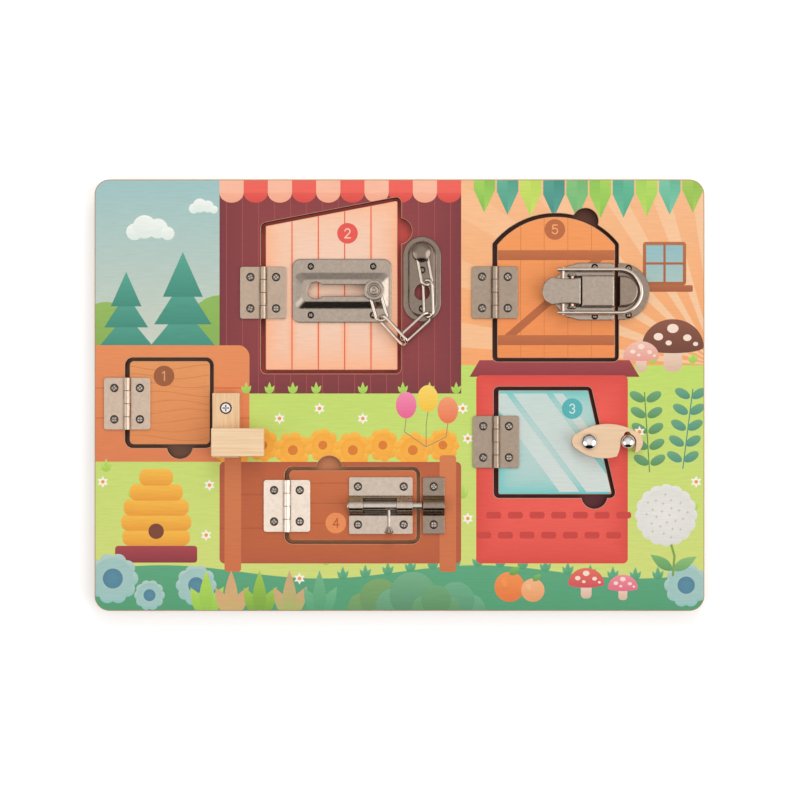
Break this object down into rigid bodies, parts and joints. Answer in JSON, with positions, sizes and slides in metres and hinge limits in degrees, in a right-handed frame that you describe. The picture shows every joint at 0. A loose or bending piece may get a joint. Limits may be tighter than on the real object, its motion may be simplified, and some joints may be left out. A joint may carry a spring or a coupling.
{
  "type": "busy board",
  "caption": "Flat wooden latch board for a child: small hinged doors in a face panel, each held shut by its own latch, with a back panel behind.",
  "frame": {"origin": "middle of the board's back, on the back face", "axes": "+X to the board's right seen from the front, +Y to its top edge, +Z out of its face"},
  "size_m": [0.366, 0.259, 0.0233],
  "materials": {
    "plywood": "smooth birch plywood, printed on its face",
    "pine": "sanded bare pine",
    "maple": "sanded pale hardwood",
    "nickel": "nickel plated steel",
    "screw_steel": "zinc plated steel"
  },
  "bodies": {
    "frame": {"back_panel": "plywood", "front_panel": "plywood", "hinge_1_frame_leaf": "nickel", "hinge_2_frame_leaf": "nickel", "hinge_3_frame_leaf": "nickel", "hinge_4_frame_leaf": "nickel", "hinge_5_frame_leaf": "nickel", "hinge_1_pin": "nickel", "hinge_2_pin": "nickel", "hinge_3_pin": "nickel", "hinge_4_pin": "nickel", "hinge_5_pin": "nickel", "hinge_frame_screws": "screw_steel", "turn_latch_screw": "screw_steel", "anchor_plate": "nickel", "anchor_post": "nickel", "anchor_screws": "screw_steel", "hook_stud": "nickel", "bolt_keeper": "nickel", "bolt_keeper_screws": "screw_steel", "draw_latch_catch": "nickel", "catch_screws": "screw_steel"},
    "door_1": {"door_1": "plywood", "hinge_1_door_leaf": "nickel", "hinge_1_door_screws": "screw_steel"},
    "door_2": {"door_2": "plywood", "hinge_2_door_leaf": "nickel", "hinge_2_door_screws": "screw_steel", "slot_plate": "nickel", "slot_plate_screws": "screw_steel"},
    "door_3": {"door_3": "plywood", "hinge_3_door_leaf": "nickel", "hinge_3_door_screws": "screw_steel", "hook_pivot_screw": "nickel"},
    "door_4": {"door_4": "plywood", "hinge_4_door_leaf": "nickel", "hinge_4_door_screws": "screw_steel", "bolt_body": "nickel", "bolt_body_screws": "screw_steel"},
    "door_5": {"door_5": "plywood", "hinge_5_door_leaf": "nickel", "hinge_5_door_screws": "screw_steel", "draw_latch_base": "nickel", "draw_latch_screws": "screw_steel", "lever_pin": "nickel"},
    "turn_latch": {"turn_latch_bar": "pine", "turn_latch_block": "pine"},
    "button": {"chain_button": "nickel"},
    "link_1": {"chain_link_1": "nickel"},
    "link_2": {"chain_link_2": "nickel"},
    "link_3": {"chain_link_3": "nickel"},
    "link_4": {"chain_link_4": "nickel"},
    "link_5": {"chain_link_5": "nickel"},
    "hook": {"hook": "maple"},
    "bolt": {"bolt_rod": "nickel", "bolt_handle": "nickel"},
    "lever": {"draw_latch_lever": "nickel", "bail_pin": "nickel"},
    "bail": {"draw_latch_bail": "nickel"}
  },
  "joints": [
    {"name": "door_1_hinge", "type": "hinge", "parent": "frame", "child": "door_1", "pos_m": [-0.1633, -0.0051, 0.0119], "axis": [0, -1, 0], "range_deg": [0, 170]},
    {"name": "door_2_hinge", "type": "hinge", "parent": "frame", "child": "door_2", "pos_m": [-0.0817, 0.0614, 0.0119], "axis": [0, -1, 0], "range_deg": [0, 150]},
    {"name": "door_3_hinge", "type": "hinge", "parent": "frame", "child": "door_3", "pos_m": [0.0579, -0.028, 0.0119], "axis": [0, -1, 0], "range_deg": [0, 160]},
    {"name": "door_4_hinge", "type": "hinge", "parent": "frame", "child": "door_4", "pos_m": [-0.0675, -0.0664, 0.0119], "axis": [0, -1, 0], "range_deg": [0, 165]},
    {"name": "door_5_hinge", "type": "hinge", "parent": "frame", "child": "door_5", "pos_m": [0.0572, 0.0616, 0.0119], "axis": [0, -1, 0], "range_deg": [0, 155]},
    {"name": "turn_latch_pivot", "type": "hinge", "parent": "frame", "child": "turn_latch", "pos_m": [-0.1036, -0.0077, 0.013], "axis": [0, 0, 1], "range_deg": [-90, 80]},
    {"name": "button_slide", "type": "slide", "parent": "door_2", "child": "button", "axis": [-1, 0, 0], "range_m": [0, 0.0348]},
    {"name": "link_1_pivot", "type": "hinge", "parent": "button", "child": "link_1", "pos_m": [-0.0152, 0.0626, 0.0157], "axis": [0, 0, -1], "range_deg": [0, 50]},
    {"name": "link_2_pivot", "type": "hinge", "parent": "link_1", "child": "link_2", "pos_m": [-0.01137, 0.04733, 0.01507], "axis": [0, 0, -1], "range_deg": [0, 40]},
    {"name": "link_3_pivot", "type": "hinge", "parent": "link_4", "child": "link_3", "pos_m": [0.01703, 0.04791, 0.01474], "axis": [0, 0, -1], "range_deg": [0, 15]},
    {"name": "link_4_pivot", "type": "hinge", "parent": "link_5", "child": "link_4", "pos_m": [0.01614, 0.06903, 0.01467], "axis": [0, 0, 1], "range_deg": [0, 14]},
    {"name": "link_5_pivot", "type": "hinge", "parent": "frame", "child": "link_5", "pos_m": [0.01337, 0.0846, 0.014], "axis": [0, 0, 1], "range_deg": [0, 14]},
    {"name": "hook_pivot", "type": "hinge", "parent": "door_3", "child": "hook", "pos_m": [0.1134, -0.0279, 0.0129], "axis": [0, 0, 1], "range_deg": [-10, 100]},
    {"name": "bolt_slide", "type": "slide", "parent": "door_4", "child": "bolt", "axis": [-1, 0, 0], "range_m": [-0.003, 0.012]},
    {"name": "lever_pivot", "type": "hinge", "parent": "door_5", "child": "lever", "pos_m": [0.1032, 0.0621, 0.0152], "axis": [0, 1, 0], "range_deg": [0, 112]},
    {"name": "bail_pivot", "type": "hinge", "parent": "lever", "child": "bail", "pos_m": [0.0977, 0.0621, 0.0152], "axis": [0, 1, 0], "range_deg": [-112, 0]}
  ],
  "couplings": [
    {"joint": "bail_pivot", "follows": "lever_pivot", "ratio": -1}
  ]
}
